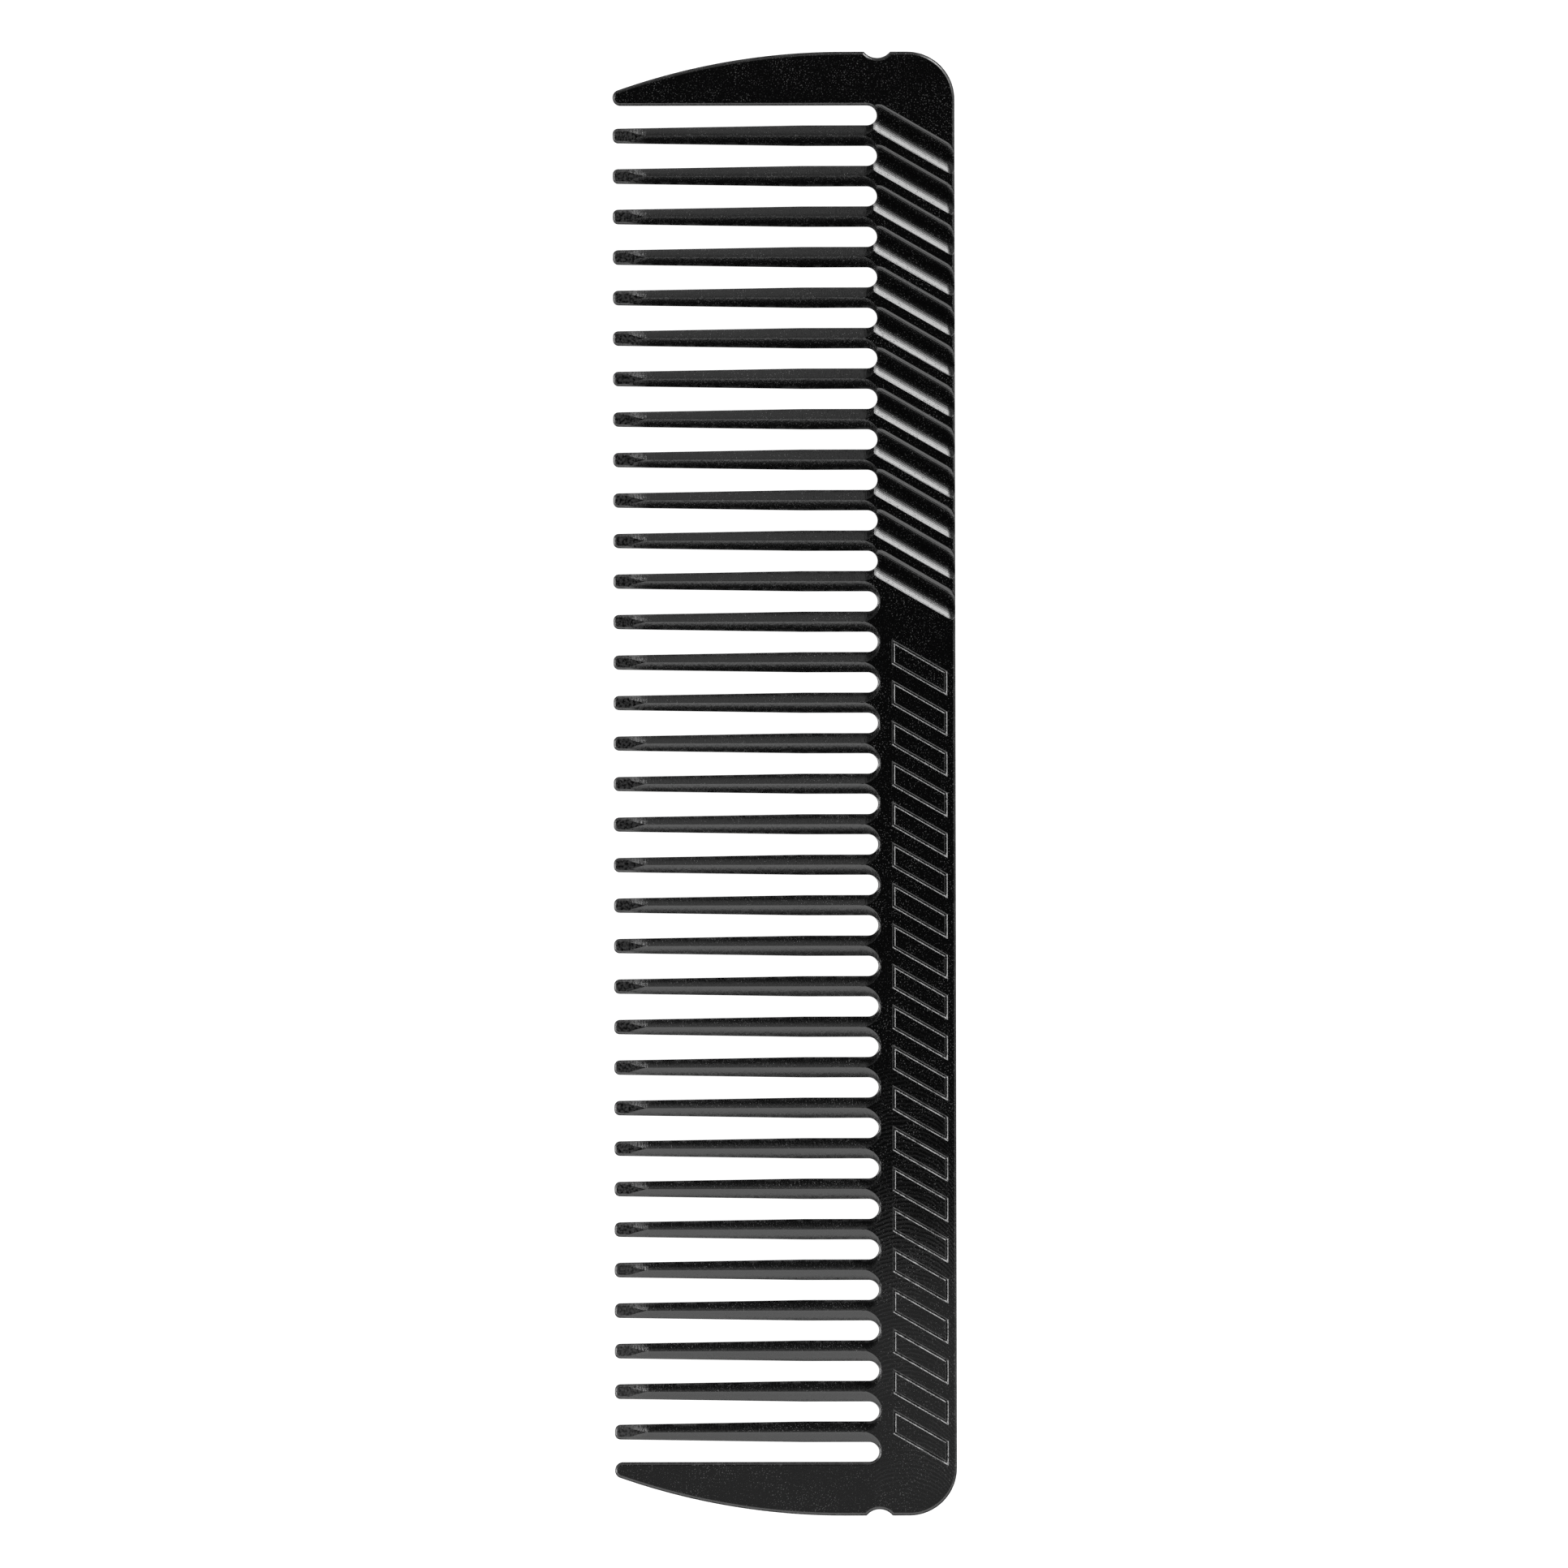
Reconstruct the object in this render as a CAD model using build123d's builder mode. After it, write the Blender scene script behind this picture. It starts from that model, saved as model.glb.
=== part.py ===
from build123d import *
import math
import os

# Pocket hair comb, machined from one flat plate of metal.
#
# Frame: X runs along the comb, with the fluted end at -X. The teeth point to -Y and
# the spine is at +Y. Z is up, with the back face at Z = 0 and the fluted front face
# on top. All sizes are in millimetres.
#
# The comb is written as its spine, its two end guards and its teeth, which meet face
# to face on one plane just short of the slot roots, so that every slot stays open.

# ---- plate ----
COMB_LENGTH = 140.0
COMB_WIDTH = 32.7
THICKNESS = 3.0
EDGE_BREAK = 0.2

# ---- teeth and the slots between them ----
SLOT_COUNT = 34
TOOTH_PITCH = 3.875
SLOT_WIDTH = 1.95
SLOT_MOUTH_WIDTH = 2.53
TAPER_LENGTH = 18.1
TOOTH_TIP_RADIUS = 0.52

# ---- spine ----
SPINE_WIDTH = 7.42
CORNER_RADIUS = 4.55
ROOT_LENGTH = 0.355

# ---- end guards ----
GUARD_CURVE_RADIUS = 65.0
GUARD_TIP_RADIUS = 0.74

# ---- relief notches in the two ends, in line with the slot roots ----
NOTCH_CHORD = 2.5
NOTCH_DEPTH = 0.6
NOTCH_FROM_SPINE = 7.4

# ---- coves milled along each slot, front and back, which sharpen the teeth ----
COVE_BALL_RADIUS = 3.97
COVE_DEPTH = 0.53
COVE_START_FROM_TIP = 3.35
COVE_END_BEFORE_ROOT = 0.74

# ---- slanted flutes across the spine, on the front only ----
FLUTE_COUNT = 12
FLUTE_ANGLE = 30.0
FLUTE_BALL_RADIUS = 1.984
FLUTE_DEPTH = 0.444
FLUTE_AXIS_PAST_ROOT = 0.68
FLUTE_START_PAST_ROOT = 1.35
FLUTE_END_BEFORE_SPINE = 0.45

# ---- ornament engraved on the plain part of the spine: a row of outlined bars ----
BAR_COUNT = 20
BAR_LENGTH = 5.0
BAR_WIDTH = 2.0
BAR_FROM_SPINE = 0.95
BAR_GAP_AFTER_FLUTES = 2
ENGRAVING_WIDTH = 0.3
ENGRAVING_DEPTH = 0.12

# ---- places worked out from the sizes above ----
END_X = COMB_LENGTH / 2
TIP_Y = -COMB_WIDTH / 2
SPINE_Y = COMB_WIDTH / 2
SLOT_RADIUS = SLOT_WIDTH / 2
ROOT_Y = SPINE_Y - SPINE_WIDTH - SLOT_RADIUS
JOIN_Y = ROOT_Y - ROOT_LENGTH
TAPER_Y = TIP_Y + TAPER_LENGTH
TOOTH_COUNT = SLOT_COUNT - 1
SLOT_XS = [TOOTH_PITCH * (index - (SLOT_COUNT - 1) / 2) for index in range(SLOT_COUNT)]
TOOTH_XS = [TOOTH_PITCH * (index - (TOOTH_COUNT - 1) / 2) for index in range(TOOTH_COUNT)]
FRONT_COVE_HEIGHT = THICKNESS + COVE_BALL_RADIUS - COVE_DEPTH
BACK_COVE_HEIGHT = COVE_DEPTH - COVE_BALL_RADIUS
FLUTE_SLOPE = math.tan(math.radians(FLUTE_ANGLE))


def ball_groove(start, end, ball_radius, ball_height):
    """The space that a ball-nose cutter sweeps between two points of the plate."""
    low = Vector(start[0], start[1], ball_height)
    high = Vector(end[0], end[1], ball_height)
    with BuildPart() as groove:
        with BuildSketch(Plane(origin=low, z_dir=high - low)):
            Circle(ball_radius)
        extrude(amount=(high - low).length)
        with Locations(low, high):
            Sphere(ball_radius)
    return groove.part


def cove_cutter(slot_x, ball_height):
    """The cove cut along one slot, on the face that the ball's height stands for."""
    start = (slot_x, TIP_Y + COVE_START_FROM_TIP)
    end = (slot_x, ROOT_Y - COVE_END_BEFORE_ROOT)
    return ball_groove(start, end, COVE_BALL_RADIUS, ball_height)


def tooth_side(cutter, side):
    """The half of an end slot's cove that lies on its tooth: the guard has no cove."""
    keep = Keep.BOTTOM if side > 0 else Keep.TOP
    return split(cutter, bisect_by=Plane.YZ.offset(side * SLOT_XS[-1]), keep=keep)


def flute_x(slot_x, y):
    """Where the axis of the flute that starts at a slot's root passes a height y."""
    return slot_x + (y - ROOT_Y - FLUTE_AXIS_PAST_ROOT) * FLUTE_SLOPE


def flute_cutter(slot_x):
    """The flute that runs from one slot's root out across the spine's edge."""
    start_y = ROOT_Y + FLUTE_START_PAST_ROOT
    end_y = SPINE_Y - FLUTE_END_BEFORE_SPINE
    start = (flute_x(slot_x, start_y), start_y)
    end = (flute_x(slot_x, end_y), end_y)
    return ball_groove(start, end, FLUTE_BALL_RADIUS, THICKNESS + FLUTE_BALL_RADIUS - FLUTE_DEPTH)


def front_and_back_rim(part):
    """The edges round both faces of a piece, without those on the joining plane."""
    layers = part.edges().group_by(Axis.Z)
    return (layers[0] + layers[-1]).filter_by(lambda edge: abs(edge.center().Y - JOIN_Y) > 0.001)


# ---- one tooth, centred on X = 0: parallel near the root, then tapered to its tip ----
tooth_coves = [
    cove_cutter(side * TOOTH_PITCH / 2, height)
    for side in (-1, 1)
    for height in (FRONT_COVE_HEIGHT, BACK_COVE_HEIGHT)
]
ROOT_HALF = (TOOTH_PITCH - SLOT_WIDTH) / 2
TIP_HALF = (TOOTH_PITCH - SLOT_MOUTH_WIDTH) / 2

with BuildPart() as tooth:
    with BuildSketch() as tooth_outline:
        with BuildLine():
            Polyline(
                (-ROOT_HALF, JOIN_Y),
                (-ROOT_HALF, TAPER_Y),
                (-TIP_HALF, TIP_Y),
                (TIP_HALF, TIP_Y),
                (ROOT_HALF, TAPER_Y),
                (ROOT_HALF, JOIN_Y),
                close=True,
            )
        make_face()
        fillet(tooth_outline.vertices().group_by(Axis.Y)[0], TOOTH_TIP_RADIUS)
    extrude(amount=THICKNESS)
    chamfer(front_and_back_rim(tooth), EDGE_BREAK)
    add(tooth_coves, mode=Mode.SUBTRACT)

# ---- the guard at the plain end: a long arc outside, a straight wall on the slot ----
WALL_X = SLOT_XS[-1] + SLOT_RADIUS
TIP_CENTRE = (WALL_X + GUARD_TIP_RADIUS, TIP_Y + GUARD_TIP_RADIUS)
CURVE_CENTRE_X = END_X - GUARD_CURVE_RADIUS
CURVE_RISE = math.sqrt(
    (GUARD_CURVE_RADIUS - GUARD_TIP_RADIUS) ** 2 - (TIP_CENTRE[0] - CURVE_CENTRE_X) ** 2
)
CURVE_CENTRE = (CURVE_CENTRE_X, TIP_CENTRE[1] + CURVE_RISE)
CURVE_SPAN = math.degrees(math.asin(CURVE_RISE / (GUARD_CURVE_RADIUS - GUARD_TIP_RADIUS)))

with BuildPart() as plain_end_guard:
    with BuildSketch():
        with BuildLine():
            Line((WALL_X, JOIN_Y), (WALL_X, TIP_CENTRE[1]))
            CenterArc(TIP_CENTRE, GUARD_TIP_RADIUS, 180, 180 - CURVE_SPAN)
            CenterArc(CURVE_CENTRE, GUARD_CURVE_RADIUS, -CURVE_SPAN, CURVE_SPAN)
            Line((END_X, CURVE_CENTRE[1]), (END_X, JOIN_Y))
            Line((END_X, JOIN_Y), (WALL_X, JOIN_Y))
        make_face()
    extrude(amount=THICKNESS)
    chamfer(front_and_back_rim(plain_end_guard), EDGE_BREAK)

with BuildPart() as fluted_end_guard:
    mirror(plain_end_guard.part, about=Plane.YZ)

# ---- the ornament: V-shaped lines round bars that keep the slant of the flutes ----
BAR_Y = SPINE_Y - BAR_FROM_SPINE - BAR_LENGTH / 2
BAR_SHIFT = BAR_LENGTH * FLUTE_SLOPE / 2
FIRST_BAR_X = flute_x(SLOT_XS[FLUTE_COUNT - 1], BAR_Y) + BAR_GAP_AFTER_FLUTES * TOOTH_PITCH
BAR_PLACES = [(FIRST_BAR_X + TOOTH_PITCH * index, BAR_Y) for index in range(BAR_COUNT)]
BAR_CORNERS = [
    (-BAR_SHIFT - BAR_WIDTH / 2, -BAR_LENGTH / 2),
    (-BAR_SHIFT + BAR_WIDTH / 2, -BAR_LENGTH / 2),
    (BAR_SHIFT + BAR_WIDTH / 2, BAR_LENGTH / 2),
    (BAR_SHIFT - BAR_WIDTH / 2, BAR_LENGTH / 2),
]
GROOVE_WALL_ANGLE = math.degrees(math.atan(ENGRAVING_WIDTH / 2 / ENGRAVING_DEPTH))

with BuildPart() as engraving:
    with BuildSketch(Plane.XY.offset(THICKNESS)):
        with Locations(*BAR_PLACES):
            Polygon(*BAR_CORNERS, align=None)
        offset(amount=ENGRAVING_WIDTH / 2, kind=Kind.INTERSECTION)
    extrude(amount=-ENGRAVING_DEPTH, taper=GROOVE_WALL_ANGLE)
    with BuildSketch(Plane.XY.offset(THICKNESS - ENGRAVING_DEPTH)):
        with Locations(*BAR_PLACES):
            Polygon(*BAR_CORNERS, align=None)
    extrude(amount=ENGRAVING_DEPTH, taper=GROOVE_WALL_ANGLE, mode=Mode.SUBTRACT)

# ---- the spine: the long bar that holds the slot roots, the flutes and the ornament ----
root_coves = [
    cove_cutter(slot_x, height)
    for slot_x in SLOT_XS[1:-1]
    for height in (FRONT_COVE_HEIGHT, BACK_COVE_HEIGHT)
]
end_root_coves = [
    tooth_side(cove_cutter(side * SLOT_XS[-1], height), side)
    for side in (-1, 1)
    for height in (FRONT_COVE_HEIGHT, BACK_COVE_HEIGHT)
]
flutes = [flute_cutter(slot_x) for slot_x in SLOT_XS[:FLUTE_COUNT]]
CORNER_CENTRE = (END_X - CORNER_RADIUS, SPINE_Y - CORNER_RADIUS)
NOTCH_RADIUS = (NOTCH_CHORD**2 / 4 + NOTCH_DEPTH**2) / (2 * NOTCH_DEPTH)
NOTCH_X = END_X + NOTCH_RADIUS - NOTCH_DEPTH
NOTCH_Y = SPINE_Y - NOTCH_FROM_SPINE

with BuildPart() as spine:
    with BuildSketch():
        with BuildLine():
            Line((0, JOIN_Y), (END_X, JOIN_Y))
            Line((END_X, JOIN_Y), (END_X, CORNER_CENTRE[1]))
            CenterArc(CORNER_CENTRE, CORNER_RADIUS, 0, 90)
            Line((CORNER_CENTRE[0], SPINE_Y), (0, SPINE_Y))
            mirror(about=Plane.YZ)
        make_face()
        with Locations((-NOTCH_X, NOTCH_Y), (NOTCH_X, NOTCH_Y)):
            Circle(NOTCH_RADIUS, mode=Mode.SUBTRACT)
        with Locations(*[(slot_x, ROOT_Y) for slot_x in SLOT_XS]):
            Circle(SLOT_RADIUS, mode=Mode.SUBTRACT)
            Rectangle(
                SLOT_WIDTH, ROOT_LENGTH, align=(Align.CENTER, Align.MAX), mode=Mode.SUBTRACT
            )
    extrude(amount=THICKNESS)
    chamfer(front_and_back_rim(spine), EDGE_BREAK)
    add(root_coves, mode=Mode.SUBTRACT)
    add(end_root_coves, mode=Mode.SUBTRACT)
    add(flutes, mode=Mode.SUBTRACT)
    add(engraving.part, mode=Mode.SUBTRACT)

# ---- the files, one for each piece ----
os.makedirs("parts", exist_ok=True)
spine.part.label = "spine"
export_step(spine.part, "parts/spine.step")
plain_end_guard.part.label = "plain_end_guard"
export_step(plain_end_guard.part, "parts/plain_end_guard.step")
fluted_end_guard.part.label = "fluted_end_guard"
export_step(fluted_end_guard.part, "parts/fluted_end_guard.step")
for number, tooth_x in enumerate(TOOTH_XS, start=1):
    with BuildPart() as placed_tooth:
        with Locations((tooth_x, 0)):
            add(tooth.part)
    placed_tooth.part.label = f"tooth_{number:02d}"
    export_step(placed_tooth.part, f"parts/tooth_{number:02d}.step")
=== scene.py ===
import math

import bpy
import numpy as np
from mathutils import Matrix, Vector
from mathutils.geometry import delaunay_2d_cdt


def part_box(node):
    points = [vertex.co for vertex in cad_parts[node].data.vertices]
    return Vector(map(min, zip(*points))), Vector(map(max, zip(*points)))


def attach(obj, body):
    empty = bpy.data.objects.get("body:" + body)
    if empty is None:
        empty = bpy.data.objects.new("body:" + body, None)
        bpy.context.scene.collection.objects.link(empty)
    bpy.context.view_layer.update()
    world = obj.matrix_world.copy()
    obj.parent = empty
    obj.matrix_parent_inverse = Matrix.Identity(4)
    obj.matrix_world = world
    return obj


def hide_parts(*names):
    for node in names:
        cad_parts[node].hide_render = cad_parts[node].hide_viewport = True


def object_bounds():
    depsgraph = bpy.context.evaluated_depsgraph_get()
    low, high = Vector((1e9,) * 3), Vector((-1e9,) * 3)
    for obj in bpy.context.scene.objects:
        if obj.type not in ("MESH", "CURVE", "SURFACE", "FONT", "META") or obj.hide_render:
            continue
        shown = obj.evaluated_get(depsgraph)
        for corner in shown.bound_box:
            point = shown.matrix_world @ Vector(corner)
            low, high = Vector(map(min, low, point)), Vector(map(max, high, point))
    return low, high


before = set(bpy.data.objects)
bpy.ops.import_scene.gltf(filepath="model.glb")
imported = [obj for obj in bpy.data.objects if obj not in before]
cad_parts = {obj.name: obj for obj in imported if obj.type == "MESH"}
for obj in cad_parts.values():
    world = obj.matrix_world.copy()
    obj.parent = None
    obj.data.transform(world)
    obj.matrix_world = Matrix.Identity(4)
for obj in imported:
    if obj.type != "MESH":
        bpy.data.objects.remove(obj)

# A pocket comb, machined from one flat plate of metal and coated black. The CAD nodes
# cut the one plate into its spine, guards and teeth; here it is one unbroken surface.
#
# Shapes are worked out in millimetres, in the frame of the CAD model: X runs along the
# comb with the fluted end at -X, the teeth point to -Y, and the front face is on top.

MM = 0.001
CAD_LOW, CAD_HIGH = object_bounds()

# ---- sizes read from the CAD model ----
END_X = CAD_HIGH.x / MM
TIP_Y = CAD_LOW.y / MM
SPINE_Y = CAD_HIGH.y / MM
THICKNESS = CAD_HIGH.z / MM
TOOTH_NAMES = sorted(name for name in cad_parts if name.startswith("tooth_"))
FIRST_TOOTH = [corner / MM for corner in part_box(TOOTH_NAMES[0])]
LAST_TOOTH = [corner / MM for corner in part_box(TOOTH_NAMES[-1])]
TOOTH_PITCH = (LAST_TOOTH[0].x - FIRST_TOOTH[0].x) / (len(TOOTH_NAMES) - 1)
SLOT_WIDTH = TOOTH_PITCH - (FIRST_TOOTH[1].x - FIRST_TOOTH[0].x)
JOIN_Y = FIRST_TOOTH[1].y

# ---- teeth and slots ----
SLOT_COUNT = len(TOOTH_NAMES) + 1
SLOT_MOUTH_WIDTH = 2.53
TAPER_LENGTH = 18.1
TOOTH_TIP_RADIUS = 0.52
ROOT_LENGTH = 0.355

# ---- outline of the guards, corners and end notches ----
GUARD_CURVE_RADIUS = 65.0
GUARD_TIP_RADIUS = 0.74
CORNER_RADIUS = 4.55
NOTCH_CHORD = 2.5
NOTCH_DEPTH = 0.6
NOTCH_FROM_SPINE = 7.4
EDGE_BREAK = 0.2
EDGE_ROUNDING = 0.12

# ---- coves along the slots, on both faces ----
COVE_BALL_RADIUS = 3.97
COVE_DEPTH = 0.53
COVE_START_FROM_TIP = 3.2
COVE_START_SLOPE = 0.13
COVE_END_BEFORE_ROOT = 0.74
END_COVE_FADE = 2.5

# ---- slanted flutes on the front of the spine ----
FLUTE_COUNT = 12
FLUTE_ANGLE = math.radians(30)
FLUTE_BALL_RADIUS = 1.984
FLUTE_DEPTH = 0.444
FLUTE_AXIS_PAST_ROOT = 0.68
FLUTE_START_PAST_ROOT = 1.35
FLUTE_START_SKEW = math.radians(15)
FLUTE_END_BEFORE_SPINE = 0.77

# ---- engraved row of outlined bars on the plain part of the spine ----
BAR_COUNT = 20
BAR_LENGTH = 5.0
BAR_WIDTH = 2.0
BAR_FROM_SPINE = 0.95
BAR_GAP_AFTER_FLUTES = 2
ENGRAVING_WIDTH = 0.3
ENGRAVING_DEPTH = 0.12

# ---- places worked out from the sizes above ----
SLOT_RADIUS = SLOT_WIDTH / 2
ROOT_Y = JOIN_Y + ROOT_LENGTH
TAPER_Y = TIP_Y + TAPER_LENGTH
FLARE = (SLOT_MOUTH_WIDTH - SLOT_WIDTH) / 2 / TAPER_LENGTH
END_SLOT_X = TOOTH_PITCH * (SLOT_COUNT - 1) / 2
SLOT_XS = [TOOTH_PITCH * index - END_SLOT_X for index in range(SLOT_COUNT)]
TIP_CORNER_Y = TIP_Y + TOOTH_TIP_RADIUS
TIP_CORNER_X = (TOOTH_PITCH - SLOT_MOUTH_WIDTH) / 2 + FLARE * TOOTH_TIP_RADIUS - TOOTH_TIP_RADIUS
WALL_X = END_SLOT_X + SLOT_RADIUS
GUARD_TIP_X = WALL_X + GUARD_TIP_RADIUS
GUARD_TIP_Y = TIP_Y + GUARD_TIP_RADIUS
CURVE_X = END_X - GUARD_CURVE_RADIUS
CURVE_SPAN = math.acos((GUARD_TIP_X - CURVE_X) / (GUARD_CURVE_RADIUS - GUARD_TIP_RADIUS))
CURVE_Y = GUARD_TIP_Y + (GUARD_CURVE_RADIUS - GUARD_TIP_RADIUS) * math.sin(CURVE_SPAN)
CORNER_X = END_X - CORNER_RADIUS
CORNER_Y = SPINE_Y - CORNER_RADIUS
NOTCH_RADIUS = (NOTCH_CHORD**2 / 4 + NOTCH_DEPTH**2) / (2 * NOTCH_DEPTH)
NOTCH_X = END_X + NOTCH_RADIUS - NOTCH_DEPTH
NOTCH_Y = SPINE_Y - NOTCH_FROM_SPINE
COVE_START_Y = TIP_Y + COVE_START_FROM_TIP
COVE_END_Y = ROOT_Y - COVE_END_BEFORE_ROOT
COVE_HALF_WIDTH = math.sqrt(COVE_BALL_RADIUS**2 - (COVE_BALL_RADIUS - COVE_DEPTH) ** 2)
FLUTE_SLOPE = math.tan(FLUTE_ANGLE)
FLUTE_AXIS_Y = ROOT_Y + FLUTE_AXIS_PAST_ROOT
FLUTE_START_Y = ROOT_Y + FLUTE_START_PAST_ROOT
FLUTE_END_Y = SPINE_Y - FLUTE_END_BEFORE_SPINE
FLUTE_HALF_WIDTH = math.sqrt(FLUTE_BALL_RADIUS**2 - (FLUTE_BALL_RADIUS - FLUTE_DEPTH) ** 2)
BAR_Y = SPINE_Y - BAR_FROM_SPINE - BAR_LENGTH / 2
FIRST_BAR_X = (
    SLOT_XS[FLUTE_COUNT - 1] + (BAR_Y - FLUTE_AXIS_Y) * FLUTE_SLOPE + BAR_GAP_AFTER_FLUTES * TOOTH_PITCH
)

# ---- marks that the cutters leave, and the grain of the coating ----
FLUTE_STEP_OVER = 0.15
FLUTE_MARK_HEIGHT = 0.0013
COVE_FEED = 0.28
COVE_MARK_HEIGHT = 0.0007
MILL_RADIUS = 5.5
MILL_PATH_Y = ROOT_Y + 3.4
MILL_FEED = 0.42
MILL_MARK_HEIGHT = 0.003
MILL_START_X = 10.0
MILL_FULL_X = 45.0
MARK_WOBBLE = 6.0
MARK_WOBBLE_SCALE = 0.8
MILL_PATCH_SCALE = 0.2
GRAIN_SCALE = 5.0
GRAIN_STRETCH = 0.35
GRAIN_HEIGHT = 0.016
GRAIN_IN_FLUTES = 0.4
STREAK_SCALE = 6.0
STREAK_STRETCH = 0.1
STREAK_HEIGHT = 0.004
# The specks are bumps in the coating. The material also paints them a lighter colour, which is a
# painted glint.
SPECK_SCALE = 7.3
SPECK_RANGE = (0.59, 0.70)
SPECK_HEIGHT = 0.006
SPECK_PATCH_SCALE = 0.3
SPECKS_IN_COVES = 0.5

# ---- where the coating is rubbed lighter ----
RIM_WIDTH = 0.3
RIM_PATCH_SCALE = 1.2
MOTTLE_SCALE = 4.0
RUBBED_RIM = 0.5
RUBBED_TIP = 0.9
RUBBED_TIP_END_Y = TIP_Y + 3.9
RUBBED_TIP_FULL_Y = TIP_Y + 3.1
RUBBED_TIP_RAGGEDNESS = 1.2
MILLED_LIGHTNESS = 0.25

# ---- the coating itself, black where it is whole and grey where it is rubbed; the specks' grey is a painted glint ----
WHOLE_COLOUR = (0.004, 0.004, 0.0043, 1)
RUBBED_AND_GLINT_COLOUR = (0.11, 0.11, 0.112, 1)
WHOLE_ROUGHNESS = 0.2
RUBBED_ROUGHNESS = 0.45
COATING_IOR = 2.5

# ---- how finely the surface is divided ----
ARC_STEPS = 24
LINE_STEPS = 14
WALL_STEP = 1.6
SPINE_EDGE_STEP = 0.2
EDGE_RINGS = [EDGE_BREAK + share * EDGE_ROUNDING for share in (-1, -0.4, 0.3, 1)]
LEAST_EDGE_GAP = 0.03
SAME_PLACE = 0.000001
INSIDE_TRIANGLES = 1
NORMAL_INSET = 0.01
SLOPE_STEP = 0.00001
COVE_START_STEPS = 11
COVE_START_OVERLAP = 0.1
COVE_END_RADII = (1.4, 1.6, 1.8, COVE_HALF_WIDTH)

# Where lines run, as shares of the way from a slot's wall to a tooth's ridge, and from a
# flute's axis to its edge.
RIDGE_SHARES = (0.5, 0.75, 1.0)
FLUTE_SHARES = (0.2, 0.4, 0.58, 0.74, 0.88, 1.0)

# ---- floor, room and camera, in metres ----
FLOOR_HALF_SIZE = 3.0
FLOOR_GAP = 0.00002
ROOM_GREYS = ((0.0, 0.01), (0.04, 0.33), (0.15, 0.33), (0.6, 0.002))
CAMERA_PLACE = (0.00002, -0.00007, 2.8)
CAMERA_TURN = math.radians(89.89)
PICTURE_WIDTH = 0.1501


# ---- the surface as a height over the plane ----
def nearest_slot(x, count=SLOT_COUNT):
    """The X of the slot nearest to a point, among the first ones of the row."""
    index = np.clip(np.round((x + END_SLOT_X) / TOOTH_PITCH), 0, count - 1)
    return index * TOOTH_PITCH - END_SLOT_X


def edge_distance(x, y):
    """How far a point is inside the comb's outline. It is negative outside."""
    side = np.abs(x)
    on_guard = side > END_SLOT_X
    distance = np.minimum(np.minimum(END_X - side, SPINE_Y - y), y - TIP_Y)

    corner = CORNER_RADIUS - np.hypot(side - CORNER_X, y - CORNER_Y)
    at_corner = (side > CORNER_X) & (y > CORNER_Y)
    distance = np.where(at_corner, np.minimum(distance, corner), distance)

    curve = GUARD_CURVE_RADIUS - np.hypot(side - CURVE_X, y - CURVE_Y)
    distance = np.where(y < CURVE_Y, np.minimum(distance, curve), distance)
    distance = np.minimum(distance, np.hypot(side - NOTCH_X, y - NOTCH_Y) - NOTCH_RADIUS)

    from_slot = np.abs(x - nearest_slot(x))
    flare = np.where(on_guard, 0, FLARE * np.maximum(TAPER_Y - y, 0))
    wall = from_slot - SLOT_RADIUS - flare
    root = np.hypot(from_slot, y - ROOT_Y) - SLOT_RADIUS
    distance = np.minimum(distance, np.where(y > ROOT_Y, root, wall))

    past_corner = TOOTH_PITCH / 2 - from_slot - TIP_CORNER_X
    tip = TOOTH_TIP_RADIUS - np.hypot(past_corner, y - TIP_CORNER_Y)
    at_tip = ~on_guard & (past_corner > 0) & (y < TIP_CORNER_Y)
    distance = np.where(at_tip, np.minimum(distance, tip), distance)

    tip_x, tip_y = side - GUARD_TIP_X, y - GUARD_TIP_Y
    guard_tip = GUARD_TIP_RADIUS - np.hypot(tip_x, tip_y)
    at_guard_tip = on_guard & (tip_y < 0) & (tip_y < -math.tan(CURVE_SPAN) * tip_x)
    return np.where(at_guard_tip, np.minimum(distance, guard_tip), distance)


def edge_break_depth(x, y):
    """The depth of the 45 degree edge break, rounded where it meets the face."""
    over = EDGE_BREAK - edge_distance(x, y)
    rounded = np.maximum(over + EDGE_ROUNDING, 0) ** 2 / (4 * EDGE_ROUNDING)
    return np.where(over > EDGE_ROUNDING, over, rounded)


def ball_depth(distance, ball_radius, depth):
    """How deep a ball-nose cutter cuts at a distance from its path."""
    under = np.sqrt(np.maximum(ball_radius**2 - distance**2, 0))
    return np.maximum(under - ball_radius + depth, 0)


def cove_depth(x, y):
    """The depth of the coves, which start with a ramp. Those of the end slots fade at the guards."""
    across = np.abs(x - nearest_slot(x))
    on_guard = np.abs(x) > END_SLOT_X
    across = np.where(on_guard, across * END_COVE_FADE, across)
    beyond = np.maximum(y - COVE_END_Y, 0)
    depth = ball_depth(np.hypot(across, beyond), COVE_BALL_RADIUS, COVE_DEPTH)
    lead_in = np.maximum(COVE_START_Y - y, 0) * COVE_START_SLOPE
    return np.where(on_guard & (y < ROOT_Y), 0, np.maximum(depth - lead_in, 0))


def flute_place(x, y):
    """Where a point is on its nearest flute: across its axis, and beyond its start and end."""
    foot = x - (y - FLUTE_AXIS_Y) * FLUTE_SLOPE
    slot_x = nearest_slot(foot, FLUTE_COUNT)
    across = (foot - slot_x) * math.cos(FLUTE_ANGLE)
    start_x = slot_x + (FLUTE_START_Y - FLUTE_AXIS_Y) * FLUTE_SLOPE
    cos_skew, sin_skew = math.cos(FLUTE_START_SKEW), math.sin(FLUTE_START_SKEW)
    before = (start_x - x) * sin_skew + (FLUTE_START_Y - y) * cos_skew
    return across, before, y - FLUTE_END_Y


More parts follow.
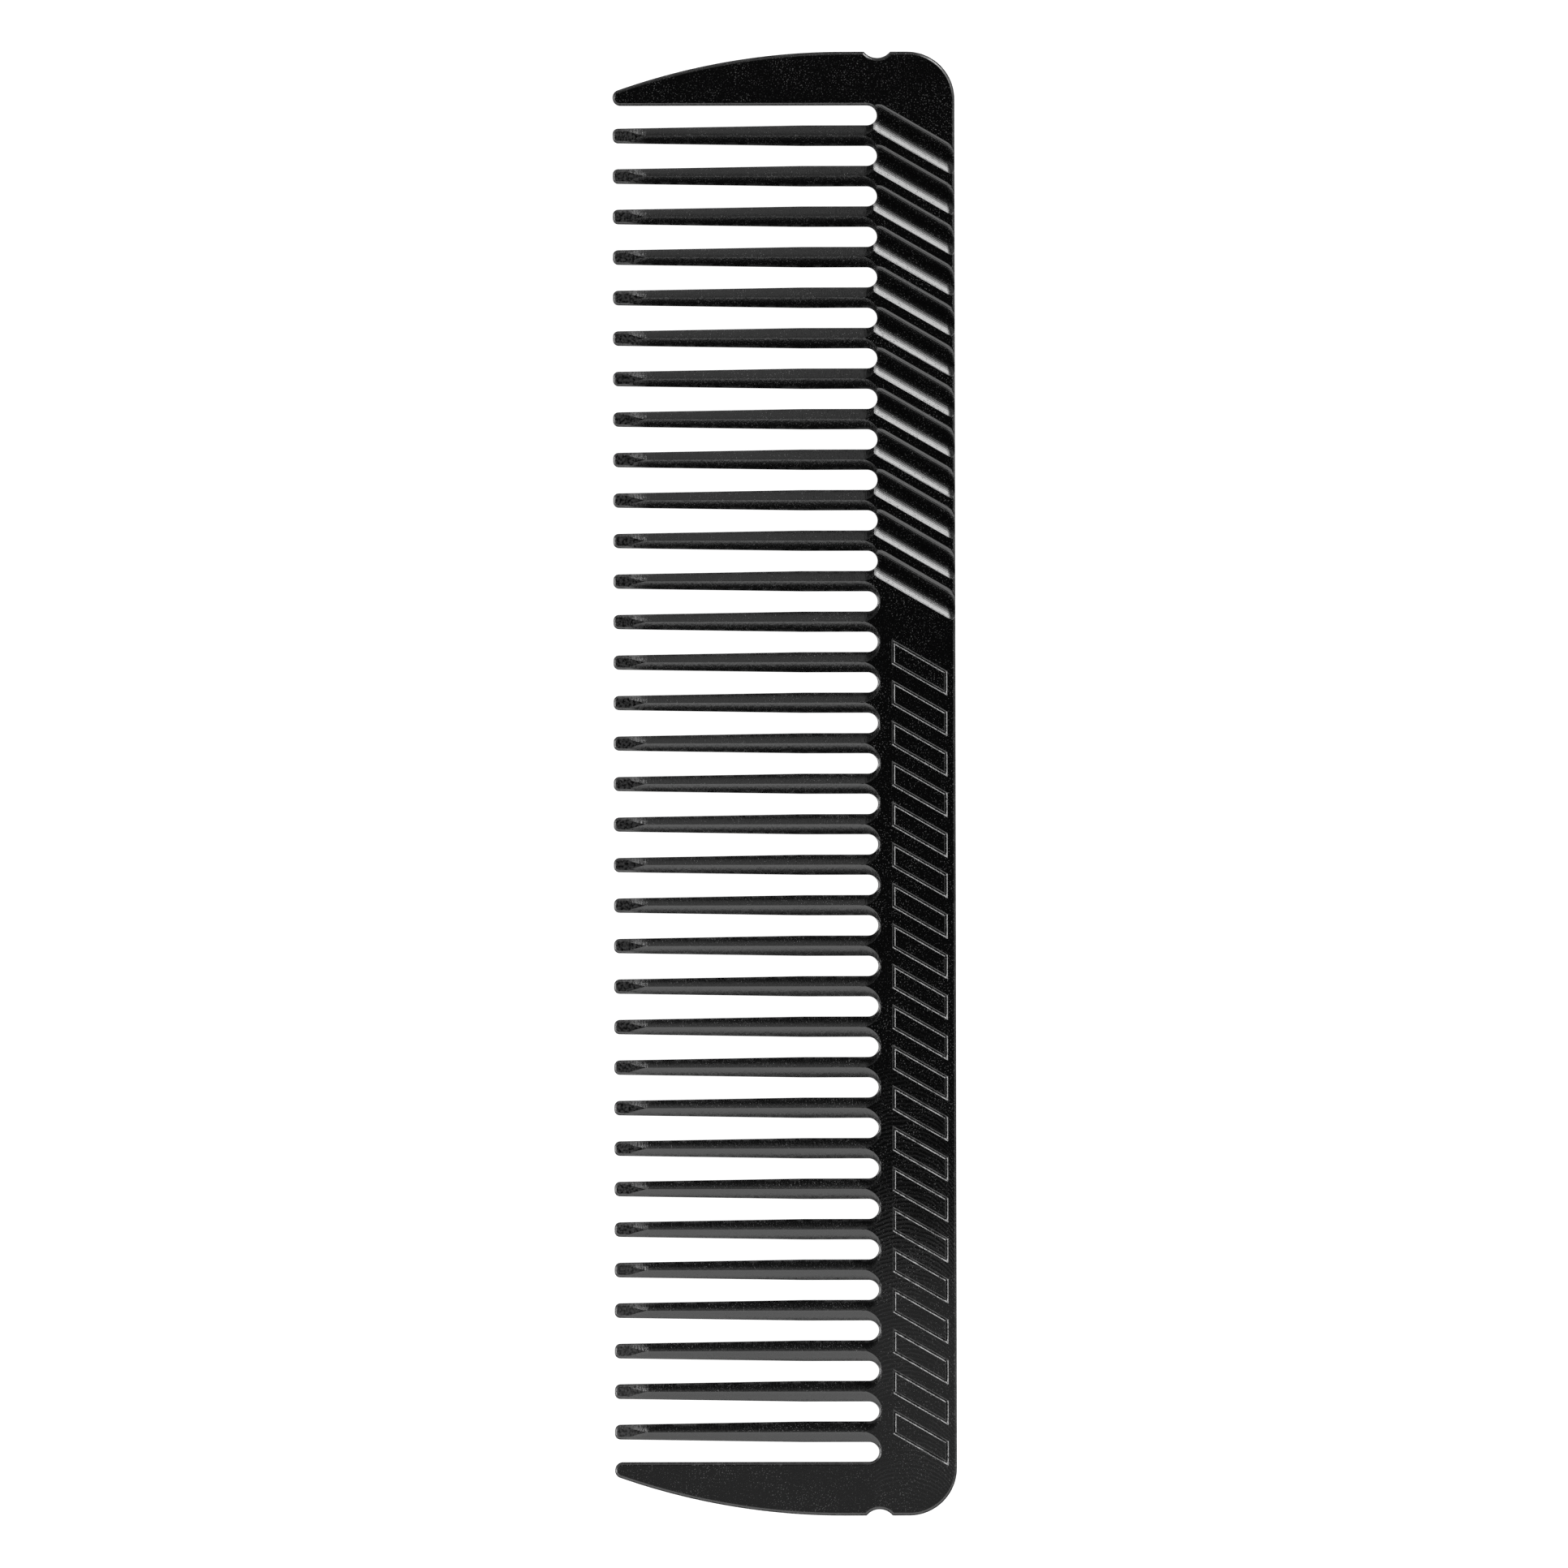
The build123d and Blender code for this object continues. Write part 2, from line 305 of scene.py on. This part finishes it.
def flute_depth(x, y):
    """The depth of the slanted flutes, whose far ends are cut parallel to the spine's edge."""
    across, before, after = flute_place(x, y)
    beyond = np.maximum(np.maximum(before, after), 0)
    return ball_depth(np.hypot(across, beyond), FLUTE_BALL_RADIUS, FLUTE_DEPTH)


def engraving_depth(x, y):
    """The depth of the V-shaped lines round the bars."""
    from_middle = y - BAR_Y
    along = x - FIRST_BAR_X - from_middle * FLUTE_SLOPE
    along = along - TOOTH_PITCH * np.clip(np.round(along / TOOTH_PITCH), 0, BAR_COUNT - 1)
    side = (np.abs(along) - BAR_WIDTH / 2) * math.cos(FLUTE_ANGLE)
    from_line = np.abs(np.maximum(side, np.abs(from_middle) - BAR_LENGTH / 2))
    return ENGRAVING_DEPTH * np.maximum(1 - from_line / (ENGRAVING_WIDTH / 2), 0)


def front_height(x, y):
    """The height of the front face, with everything that is cut into it."""
    cut = np.maximum(flute_depth(x, y), cove_depth(x, y))
    return THICKNESS - np.maximum(cut, edge_break_depth(x, y)) - engraving_depth(x, y)


def back_height(x, y):
    """The height of the back face, which has only the coves and the edge break."""
    return np.maximum(cove_depth(x, y), edge_break_depth(x, y))


# ---- lines that the surface's triangles follow ----
def arc(centre, radius, start, end, steps=ARC_STEPS):
    """Points along an arc, from one angle to another in degrees."""
    angles = np.radians(np.linspace(start, end, steps + 1))
    return [(centre[0] + radius * math.cos(a), centre[1] + radius * math.sin(a)) for a in angles]


def run(start, end, step=WALL_STEP):
    """Evenly spaced points along a straight line, with both its ends."""
    count = max(1, math.ceil(math.dist(start, end) / step))
    return [tuple(point) for point in np.linspace(start, end, count + 1)]


def half_width(y):
    """Half the width of a slot between two teeth at one height."""
    return SLOT_RADIUS + FLARE * max(TAPER_Y - y, 0)


def slot_wall(slot_x, side):
    """A tooth's wall on one side of a slot, from the rounded tip up to the slot's root."""
    tooth_x = slot_x + side * TOOTH_PITCH / 2
    corner = (tooth_x - side * TIP_CORNER_X, TIP_CORNER_Y)
    tip = arc(corner, TOOTH_TIP_RADIUS, -90, -90 - side * 90, ARC_STEPS // 3)
    bend = (slot_x + side * SLOT_RADIUS, TAPER_Y)
    root = (slot_x + side * SLOT_RADIUS, ROOT_Y)
    return [(tooth_x, TIP_Y)] + tip + run(tip[-1], bend)[1:] + run(bend, root)[1:-1]


def half_outline():
    """The outline from the middle tooth's tip, round the plain end, to the spine's middle."""
    points = []
    for slot_x in SLOT_XS[SLOT_COUNT // 2 :]:
        points += slot_wall(slot_x, -1)
        points += arc((slot_x, ROOT_Y), SLOT_RADIUS, 180, 0)
        if slot_x < SLOT_XS[-1]:
            points += slot_wall(slot_x, 1)[:0:-1]
    span = math.degrees(CURVE_SPAN)
    notch_half = math.degrees(math.asin(NOTCH_CHORD / 2 / NOTCH_RADIUS))
    notch = arc((NOTCH_X, NOTCH_Y), NOTCH_RADIUS, 180 + notch_half, 180 - notch_half)
    points += run((WALL_X, ROOT_Y), (WALL_X, GUARD_TIP_Y))[1:-1]
    points += arc((GUARD_TIP_X, GUARD_TIP_Y), GUARD_TIP_RADIUS, 180, 360 - span)[:-1]
    points += arc((CURVE_X, CURVE_Y), GUARD_CURVE_RADIUS, -span, 0)
    points += run((END_X, CURVE_Y), notch[0])[1:-1]
    points += notch
    points += run(notch[-1], (END_X, CORNER_Y))[1:-1]
    points += arc((CORNER_X, CORNER_Y), CORNER_RADIUS, 0, 90)
    points += run((CORNER_X, SPINE_Y), (0, SPINE_Y), SPINE_EDGE_STEP)[1:]
    return points


def whole_outline():
    """The closed outline, anticlockwise as seen from the front."""
    half = half_outline()
    return half + [(-x, y) for x, y in half[-2:0:-1]]


def inward(outline, distance):
    """The outline moved into the metal by a distance, with its corners mitred."""
    points = np.array(outline)
    ahead = np.roll(points, -1, axis=0) - points
    ahead /= np.linalg.norm(ahead, axis=1)[:, None]
    normal = np.stack([-ahead[:, 1], ahead[:, 0]], axis=1)
    before = np.roll(normal, 1, axis=0)
    share = 1 + (normal * before).sum(axis=1)
    return [tuple(point) for point in points + distance * (normal + before) / share[:, None]]


def cove_lines():
    """Lines along each tooth's ridge and cove flanks, and round both ends of the coves."""
    lines = []
    for index, slot_x in enumerate(SLOT_XS):
        sides = [side for side in (-1, 1) if 0 <= index + side < SLOT_COUNT]
        for side in sides:
            for share in RIDGE_SHARES:
                ys = np.linspace(COVE_START_Y, COVE_END_Y, LINE_STEPS + 1)
                reach = [half_width(y) + share * (TOOTH_PITCH / 2 - half_width(y)) for y in ys]
                lines.append([(slot_x + side * r, y) for r, y in zip(reach, ys)])
            nearest = half_width(COVE_START_Y) - COVE_START_OVERLAP
            starts = np.linspace(nearest, TOOTH_PITCH / 2, COVE_START_STEPS + 1)
            lead_in = ball_depth(starts, COVE_BALL_RADIUS, COVE_DEPTH) / COVE_START_SLOPE
            lines.append([(slot_x + side * x, COVE_START_Y - y) for x, y in zip(starts, lead_in)])
            for radius in COVE_END_RADII:
                lines.append(arc((slot_x, COVE_END_Y), radius, 90 - side * 90, 90, LINE_STEPS))
    return lines


def flute_point(slot_x, across, y):
    """A point of one flute, by its distance from the flute's axis and its height."""
    return (slot_x + (y - FLUTE_AXIS_Y) * FLUTE_SLOPE + across / math.cos(FLUTE_ANGLE), y)


def flute_start_point(slot_x, across, before):
    """A point before a flute's start, by its distance from the axis and from the start."""
    start_x, start_y = flute_point(slot_x, 0, FLUTE_START_Y)
    cos_skew, sin_skew = math.cos(FLUTE_START_SKEW), math.sin(FLUTE_START_SKEW)
    cos_axis, sin_axis = math.cos(FLUTE_ANGLE), math.sin(FLUTE_ANGLE)
    scale = 1 / (cos_axis * cos_skew + sin_axis * sin_skew)
    step_x = (across * cos_skew - before * sin_axis) * scale
    step_y = (-across * sin_skew - before * cos_axis) * scale
    return (start_x + step_x, start_y + step_y)


def flute_lines():
    """Closed lines of equal depth round each flute."""
    lines = []
    turns = np.linspace(0, math.pi, LINE_STEPS + 1)
    for slot_x in SLOT_XS[:FLUTE_COUNT]:
        for share in FLUTE_SHARES:
            radius = share * FLUTE_HALF_WIDTH
            end = [
                flute_point(slot_x, radius * math.cos(turn), FLUTE_END_Y + radius * math.sin(turn))
                for turn in turns
            ]
            start = [
                flute_start_point(slot_x, -radius * math.cos(turn), radius * math.sin(turn))
                for turn in turns
            ]
            lines.append(run(start[-1], end[0])[:-1] + end + run(end[-1], start[0])[1:-1] + start)
        axis_start, axis_end = (flute_point(slot_x, 0, y) for y in (FLUTE_START_Y, FLUTE_END_Y))
        lines.append(run(axis_start, axis_end))
    return lines


def engraving_lines():
    """The two edges and the bottom of the engraved line round each bar."""
    lines = []
    for index in range(BAR_COUNT):
        for offset in (-ENGRAVING_WIDTH / 2, 0, ENGRAVING_WIDTH / 2):
            half_x = BAR_WIDTH / 2 + offset / math.cos(FLUTE_ANGLE)
            half_y = BAR_LENGTH / 2 + offset
            middle_x = FIRST_BAR_X + index * TOOTH_PITCH
            corners = [
                (middle_x + side_x * half_x + side_y * half_y * FLUTE_SLOPE, BAR_Y + side_y * half_y)
                for side_x, side_y in ((-1, -1), (1, -1), (1, 1), (-1, 1), (-1, -1))
            ]
            lines.append(corners)
    return lines


# ---- the mesh ----
def triangulate(outline, lines):
    """Divides the outline's inside into triangles that follow the lines."""
    points = list(outline)
    edges = [(index, (index + 1) % len(outline)) for index in range(len(outline))]
    for line in lines:
        xs, ys = np.array(line).T
        inside = edge_distance(xs, ys) > LEAST_EDGE_GAP
        for index, point in enumerate(line):
            if inside[index]:
                points.append(point)
            if index and inside[index] and inside[index - 1]:
                edges.append((len(points) - 2, len(points) - 1))
    vectors = [Vector(point) for point in points]
    result = delaunay_2d_cdt(vectors, edges, [], INSIDE_TRIANGLES, SAME_PLACE)
    corners, triangles, sources = result[0], result[2], result[3]
    place = {source: index for index, group in enumerate(sources) for source in group}
    rim = [place[index] for index in range(len(outline))]
    return np.array(corners), np.array(triangles), np.array(rim)


def inset_points(corners):
    """Points just inside each face, one for each of its corners."""
    toward = corners.mean(axis=1, keepdims=True) - corners
    toward /= np.linalg.norm(toward, axis=2, keepdims=True)
    return np.moveaxis(corners + NORMAL_INSET * toward, 2, 0)


def slopes(height, x, y):
    """How fast a height rises along X and along Y."""
    rise_x = height(x + SLOPE_STEP, y) - height(x - SLOPE_STEP, y)
    rise_y = height(x, y + SLOPE_STEP) - height(x, y - SLOPE_STEP)
    return rise_x / (2 * SLOPE_STEP), rise_y / (2 * SLOPE_STEP)


def surface_normals(height, places, up):
    """Exact normals at places on the front (up is 1), the back (-1) or the walls (0)."""
    rise_x, rise_y = slopes(height, *places)
    turn = -1 if up < 0 else 1
    normals = np.stack([-turn * rise_x, -turn * rise_y, np.full_like(rise_x, up)], axis=2)
    return (normals / np.linalg.norm(normals, axis=2, keepdims=True)).reshape(-1, 3)


def set_attribute(mesh, name, values):
    """A number on every corner of the mesh, which the material reads by its name."""
    attribute = mesh.attributes.new(name, "FLOAT", "CORNER")
    attribute.data.foreach_set("value", np.concatenate(values).astype(np.float32))


def mark_for_material(mesh, front, back, wall_size):
    """Marks the corners that lie in a flute, in a cove or near an edge. The walls have no marks."""
    wall = np.zeros(wall_size)
    in_flute = (flute_depth(*front) > 0).ravel()
    in_cove = [(cove_depth(*places) > 0).ravel() for places in (front, back)]
    at_rim = [np.clip(1 - edge_distance(*places) / RIM_WIDTH, 0, 1).ravel() for places in (front, back)]
    set_attribute(mesh, "flute", [in_flute, np.zeros(in_cove[1].size), wall])
    set_attribute(mesh, "cove", [in_cove[0] & ~in_flute, in_cove[1], wall])
    set_attribute(mesh, "rim", at_rim + [wall])


def comb_mesh():
    """The whole comb as one closed surface, with exact normals."""
    outline = whole_outline()
    rings = [inward(outline, gap) for gap in EDGE_RINGS]
    shared_lines = [ring + ring[:1] for ring in rings] + cove_lines()
    front_lines = shared_lines + flute_lines() + engraving_lines()
    front, front_triangles, front_rim = triangulate(outline, front_lines)
    back, back_triangles, back_rim = triangulate(outline, shared_lines)
    back_triangles = back_triangles[:, ::-1]
    next_outline = np.roll(outline, -1, axis=0)
    wall_ends = np.stack([outline, outline, next_outline, next_outline], axis=1)

    heights = np.concatenate([front_height(*front.T), back_height(*back.T)])
    corners = np.column_stack([np.concatenate([front, back]), heights]) * MM
    back_rim = back_rim + len(front)
    walls = np.stack([front_rim, back_rim, np.roll(back_rim, -1), np.roll(front_rim, -1)], axis=1)
    faces = front_triangles.tolist() + (back_triangles + len(front)).tolist() + walls.tolist()
    mesh = bpy.data.meshes.new("comb")
    mesh.from_pydata(corners.tolist(), [], faces)

    front_places = inset_points(front[front_triangles])
    back_places = inset_points(back[back_triangles])
    wall_places = inset_points(wall_ends)
    normals = [
        surface_normals(front_height, front_places, 1),
        surface_normals(back_height, back_places, -1),
        surface_normals(edge_distance, wall_places, 0),
    ]
    mesh.polygons.foreach_set("use_smooth", [True] * len(mesh.polygons))
    mesh.normals_split_custom_set(np.concatenate(normals).tolist())
    mark_for_material(mesh, front_places, back_places, wall_places[0].size)
    return mesh


# ---- materials ----
class Material:
    """A material of one principled shader, with a short way to write the nodes that feed it."""

    def __init__(self, name):
        self.material = bpy.data.materials.new(name)
        self.material.use_nodes = True
        self.tree = self.material.node_tree
        self.shader = self.tree.nodes["Principled BSDF"]

    def fill(self, node, inputs):
        """Sets a node's inputs, each to a number, a colour or another node's output."""
        for key, value in inputs.items():
            if isinstance(value, bpy.types.NodeSocket):
                self.tree.links.new(value, node.inputs[key])
            else:
                node.inputs[key].default_value = value

    def node(self, kind, inputs, output=0, **settings):
        """Adds a node and gives back one of its outputs."""
        node = self.tree.nodes.new("ShaderNode" + kind)
        for key, value in settings.items():
            setattr(node, key, value)
        self.fill(node, inputs)
        return node.outputs[output]

    def math(self, operation, *inputs):
        """Works out one number from others."""
        return self.node("Math", dict(enumerate(inputs)), operation=operation)

    def chain(self, operation, terms):
        """Applies one operation to several outputs and numbers in turn."""
        result = terms[0]
        for term in terms[1:]:
            result = self.math(operation, result, term)
        return result

    def total(self, *terms):
        """Adds up several outputs."""
        return self.chain("ADD", terms)

    def product(self, *factors):
        """Multiplies several outputs and numbers."""
        return self.chain("MULTIPLY", factors)

    def largest(self, *terms):
        """The largest of several outputs."""
        return self.chain("MAXIMUM", terms)

    def attribute(self, name):
        """A number that is stored on the mesh."""
        return self.node("Attribute", {}, "Fac", attribute_name=name)

    def noise(self, place, scale, detail=2.0):
        """Noise between 0 and 1, of a number of grains for each unit of the place."""
        return self.node("TexNoise", {"Vector": place, "Scale": scale, "Detail": detail})

    def ramp(self, value, low, high, start=0.0, end=1.0):
        """Goes smoothly from start to end as the value goes from low to high."""
        inputs = {"Value": value, "From Min": low, "From Max": high, "To Min": start, "To Max": end}
        return self.node("MapRange", inputs, interpolation_type="SMOOTHSTEP")

    def stretched(self, place, share):
        """The place with its X shrunk, which draws noise out along the comb."""
        return self.node("VectorMath", {0: place, 1: (share, 1.0, 1.0)}, operation="MULTIPLY")

    def waves(self, distance, spacing, shift=0.0):
        """Rises and falls between -1 and 1, once for every spacing."""
        turn = self.math("ADD", self.math("MULTIPLY", distance, 2 * math.pi / spacing), shift)
        return self.math("SINE", turn)


def specks_with_painted_glints(made, place, in_cove):
    """Fine specks, stronger in some patches and weaker in the coves. They are small bumps, and the
    lighter colour they also get is a painted glint.
    """
    patches = made.ramp(made.noise(place, SPECK_PATCH_SCALE), 0.35, 0.65, 0.6, 1.3)
    strength = made.product(patches, made.ramp(in_cove, 0.0, 1.0, 1.0, SPECKS_IN_COVES))
    return made.product(made.ramp(made.noise(place, SPECK_SCALE, detail=3.0), *SPECK_RANGE), strength)


def mill_marks(made, place, x, y, wobble):
    """The arcs that a face mill leaves on the spine, clearest towards the plain end."""
    from_path = made.math("SUBTRACT", y, MILL_PATH_Y)
    under_root = made.math("SUBTRACT", MILL_RADIUS**2, made.product(from_path, from_path))
    arc_x = made.math("ADD", x, made.math("SQRT", made.math("MAXIMUM", under_root, 0.0)))
    towards_end = made.ramp(x, MILL_START_X, MILL_FULL_X)
    on_spine = made.ramp(y, ROOT_Y, ROOT_Y + 1.0)
    patches = made.ramp(made.noise(place, MILL_PATCH_SCALE), 0.35, 0.6, 0.25, 1.0)
    return made.product(made.waves(arc_x, MILL_FEED, wobble), towards_end, on_spine, patches)


def rubbed_places(made, place, x, y):
    """Where handling has rubbed the coating: in places along the edges, and at the tooth tips."""
    mottle = made.ramp(made.noise(place, MOTTLE_SCALE, detail=4.0), 0.35, 0.65)
    ragged_y = made.math("ADD", y, made.product(mottle, RUBBED_TIP_RAGGEDNESS))
    at_tip = made.ramp(ragged_y, RUBBED_TIP_END_Y, RUBBED_TIP_FULL_Y)
    on_teeth = made.math("LESS_THAN", made.math("ABSOLUTE", x), END_SLOT_X)
    tips = made.product(at_tip, on_teeth, mottle)
    in_places = made.ramp(made.noise(place, RIM_PATCH_SCALE), 0.4, 0.65)
    rim = made.product(made.ramp(made.attribute("rim"), 0.0, 1.0), in_places)
    return made.largest(made.product(rim, RUBBED_RIM), made.product(tips, RUBBED_TIP))


def coated_metal():
    """Satin black coating that still shows the cutters' marks, a blasted grain and rubbed edges, with
    glints painted in a lighter colour on its specks.
    """
    made = Material("coated_metal")
    position = made.node("TexCoord", {}, "Object")
    place = made.node("VectorMath", {0: position, "Scale": 1 / MM}, operation="SCALE")
    split = made.tree.nodes.new("ShaderNodeSeparateXYZ")
    made.fill(split, {0: place})
    x, y = split.outputs["X"], split.outputs["Y"]
    in_flute, in_cove = made.attribute("flute"), made.attribute("cove")
    on_flat = made.math("SUBTRACT", 1.0, made.largest(in_flute, in_cove))

    grain = made.noise(made.stretched(place, GRAIN_STRETCH), GRAIN_SCALE, detail=3.0)
    streaks = made.noise(made.stretched(place, STREAK_STRETCH), STREAK_SCALE, detail=1.0)
    specks = specks_with_painted_glints(made, place, in_cove)
    blasted = made.total(made.product(grain, GRAIN_HEIGHT), made.product(specks, SPECK_HEIGHT))

    wobble = made.product(made.noise(place, MARK_WOBBLE_SCALE, detail=1.0), MARK_WOBBLE)
    across_flutes = made.math("SUBTRACT", x, made.product(y, FLUTE_SLOPE))
    flute_marks = made.waves(across_flutes, FLUTE_STEP_OVER / math.cos(FLUTE_ANGLE))
    cove_marks = made.waves(y, COVE_FEED, wobble)
    milled = made.product(mill_marks(made, place, x, y, wobble), on_flat)

    height = made.total(
        made.product(blasted, made.ramp(in_flute, 0.0, 1.0, 1.0, GRAIN_IN_FLUTES)),
        made.product(streaks, STREAK_HEIGHT, on_flat),
        made.product(flute_marks, in_flute, FLUTE_MARK_HEIGHT),
        made.product(cove_marks, in_cove, COVE_MARK_HEIGHT),
        made.product(milled, MILL_MARK_HEIGHT),
    )
    rubbed = rubbed_places(made, place, x, y)
    # The colour is lighter where the coating is rubbed and on the mill marks. On the specks the lighter
    # colour is a painted glint.
    light = made.largest(specks, rubbed, made.product(milled, MILLED_LIGHTNESS))
    colours = {"Factor": light, "A": WHOLE_COLOUR, "B": RUBBED_AND_GLINT_COLOUR}
    rougher = made.product(light, RUBBED_ROUGHNESS - WHOLE_ROUGHNESS)
    made.fill(
        made.shader,
        {
            "Base Color": made.node("Mix", colours, "Result", data_type="RGBA"),
            "Roughness": made.math("ADD", rougher, WHOLE_ROUGHNESS),
            "IOR": COATING_IOR,
            "Normal": made.node("Bump", {"Height": height, "Distance": MM, "Strength": 1.0}),
        },
    )
    return made.material


def pale_floor():
    """A plain white table that shines evenly, as if it were lit from below."""
    made = Material("pale_floor")
    position = made.node("TexCoord", {}, "Object")
    mottle = made.ramp(made.noise(position, 3.0), 0.3, 0.7, 0.88, 0.9)
    made.fill(
        made.shader,
        {
            "Base Color": made.node("CombineColor", {0: mottle, 1: mottle, 2: mottle}),
            "Roughness": 0.8,
            "Emission Color": (1, 1, 1, 1),
            "Emission Strength": 1.0,
        },
    )
    return made.material


# ---- the comb in the scene ----
def make_comb():
    """The comb, as one piece that stands for all of the CAD nodes."""
    comb = bpy.data.objects.new("comb", comb_mesh())
    comb.data.materials.append(coated_metal())
    bpy.context.scene.collection.objects.link(comb)
    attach(comb, "root")
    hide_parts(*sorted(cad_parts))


def make_floor():
    """The table, which the comb doesn't reflect: its walls stay dark."""
    half = FLOOR_HALF_SIZE
    corners = [(-half, -half, 0), (half, -half, 0), (half, half, 0), (-half, half, 0)]
    mesh = bpy.data.meshes.new("floor")
    mesh.from_pydata(corners, [], [(0, 1, 2, 3)])
    floor = bpy.data.objects.new("floor", mesh)
    floor.location.z = -FLOOR_GAP
    floor.visible_glossy = False
    floor.data.materials.append(pale_floor())
    bpy.context.scene.collection.objects.link(floor)


def softbox(name, place, size, brightness, target=(0, 0, 0)):
    """A soft panel light that faces the comb, or another point of the table."""
    light = bpy.data.lights.new(name, "AREA")
    light.shape = "RECTANGLE"
    light.size, light.size_y = size
    light.energy = brightness * math.pi * size[0] * size[1]
    panel = bpy.data.objects.new(name, light)
    panel.location = place
    panel.rotation_euler = (Vector(target) - Vector(place)).to_track_quat("-Z", "Y").to_euler()
    panel.visible_camera = False
    bpy.context.scene.collection.objects.link(panel)


def make_lights():
    """Softboxes, each for the surfaces that reflect it up to the camera."""
    # The flutes' flanks that face the fluted end: a bright box, and one that softens its edge.
    softbox("key_panel", (-0.754, 0.49, 0.438), (0.35, 0.5), 2.3)
    softbox("key_edge_panel", (-0.703, 0.457, 0.545), (0.35, 0.77), 0.9)
    # The edge breaks round the fluted end's corner, and those of the tips.
    softbox("side_panel", (-0.466, 0.745, 0.477), (0.61, 0.57), 1.1)
    softbox("tip_panel", (0, -0.9, 0.26), (0.8, 0.3), 2.7)
    # The coves that face the plain end, and the flats near that end.
    softbox("fill_panel", (0.339, 0, 0.118), (0.42, 0.8), 0.5, (0.339, 0, 0))
    softbox("ceiling_panel", (0.0725, 0, 0.05), (0.055, 0.3), 0.09, (0.0725, 0, 0))
    # The coves that face the fluted end.
    softbox("rear_panel", (-0.16, -0.0125, 0.12), (0.12, 0.055), 0.2, (-0.16, -0.0125, 0))


def make_room():
    """A dark room, with a band of dim light just above the horizon."""
    world = bpy.data.worlds.new("studio")
    bpy.context.scene.world = world
    world.use_nodes = True
    nodes, links = world.node_tree.nodes, world.node_tree.links
    background = nodes["Background"]
    direction = nodes.new("ShaderNodeTexCoord")
    split = nodes.new("ShaderNodeSeparateXYZ")
    ramp = nodes.new("ShaderNodeValToRGB")
    links.new(direction.outputs["Generated"], split.inputs[0])
    links.new(split.outputs["Z"], ramp.inputs["Fac"])
    links.new(ramp.outputs["Color"], background.inputs["Color"])
    while len(ramp.color_ramp.elements) < len(ROOM_GREYS):
        ramp.color_ramp.elements.new(1.0)
    for element, (height, grey) in zip(ramp.color_ramp.elements, ROOM_GREYS):
        element.position = height
        element.color = (grey, grey, grey, 1)


def make_camera():
    """A long lens straight above the comb, with the fluted end at the top of the picture."""
    data = bpy.data.cameras.new("camera")
    data.lens = data.sensor_width * CAMERA_PLACE[2] / PICTURE_WIDTH
    data.clip_end = 10
    camera = bpy.data.objects.new("camera", data)
    camera.location = CAMERA_PLACE
    camera.rotation_euler = (0, 0, CAMERA_TURN)
    bpy.context.scene.collection.objects.link(camera)
    bpy.context.scene.camera = camera


make_comb()
make_floor()
make_lights()
make_room()
make_camera()
bpy.context.scene.view_settings.view_transform = "Standard"
